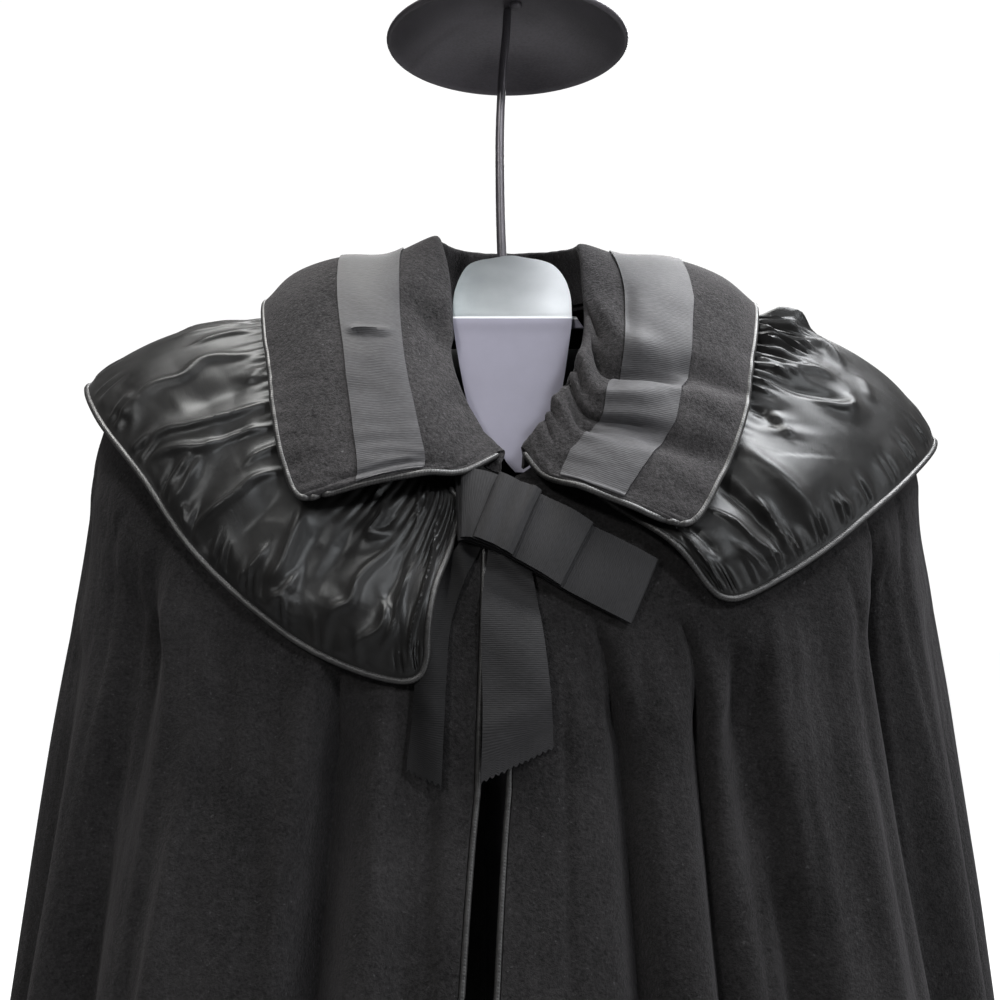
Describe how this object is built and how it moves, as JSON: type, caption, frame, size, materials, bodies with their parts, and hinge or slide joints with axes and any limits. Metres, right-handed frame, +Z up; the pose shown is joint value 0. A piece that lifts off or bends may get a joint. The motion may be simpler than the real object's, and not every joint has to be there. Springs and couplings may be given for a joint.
{
  "type": "wool cloak on display stand",
  "caption": "Long A-line wool cloak with piped open front, ribbon-trimmed collar, gathered satin ruffle and ribbon bow, on a limbless pole stand.",
  "frame": {"origin": "centre of the stand's foot plate, on the floor", "axes": "+Z up, -Y to the cloak's front, +X to the wearer's left"},
  "size_m": [0.7893, 0.6171, 1.6164],
  "materials": {
    "wool": "matt black milled wool",
    "satin": "glossy black satin",
    "ribbon": "ribbed dark grey grosgrain",
    "black_metal": "satin black",
    "pale_metal": "polished and matt",
    "form": "matt black"
  },
  "bodies": {
    "root": {"stand_base": "black_metal", "stand_pole": "black_metal", "shoulder_form": "form", "neck_plate": "pale_metal", "neck_bar": "pale_metal", "head_rod": "black_metal", "head_dome": "black_metal", "right_front": "wool", "right_back": "wool", "left_front": "wool", "left_back": "wool", "right_front_piping": "satin", "left_front_piping": "satin", "right_ruffle": "satin", "right_ruffle_piping": "satin", "left_ruffle": "satin", "left_ruffle_piping": "satin", "collar": "wool", "collar_ribbon": "ribbon", "collar_piping": "satin", "bow_long_loop": "ribbon", "bow_middle_loop": "ribbon", "bow_knot": "ribbon", "bow_left_tail": "ribbon", "bow_right_tail": "ribbon"}
  },
  "joints": []
}
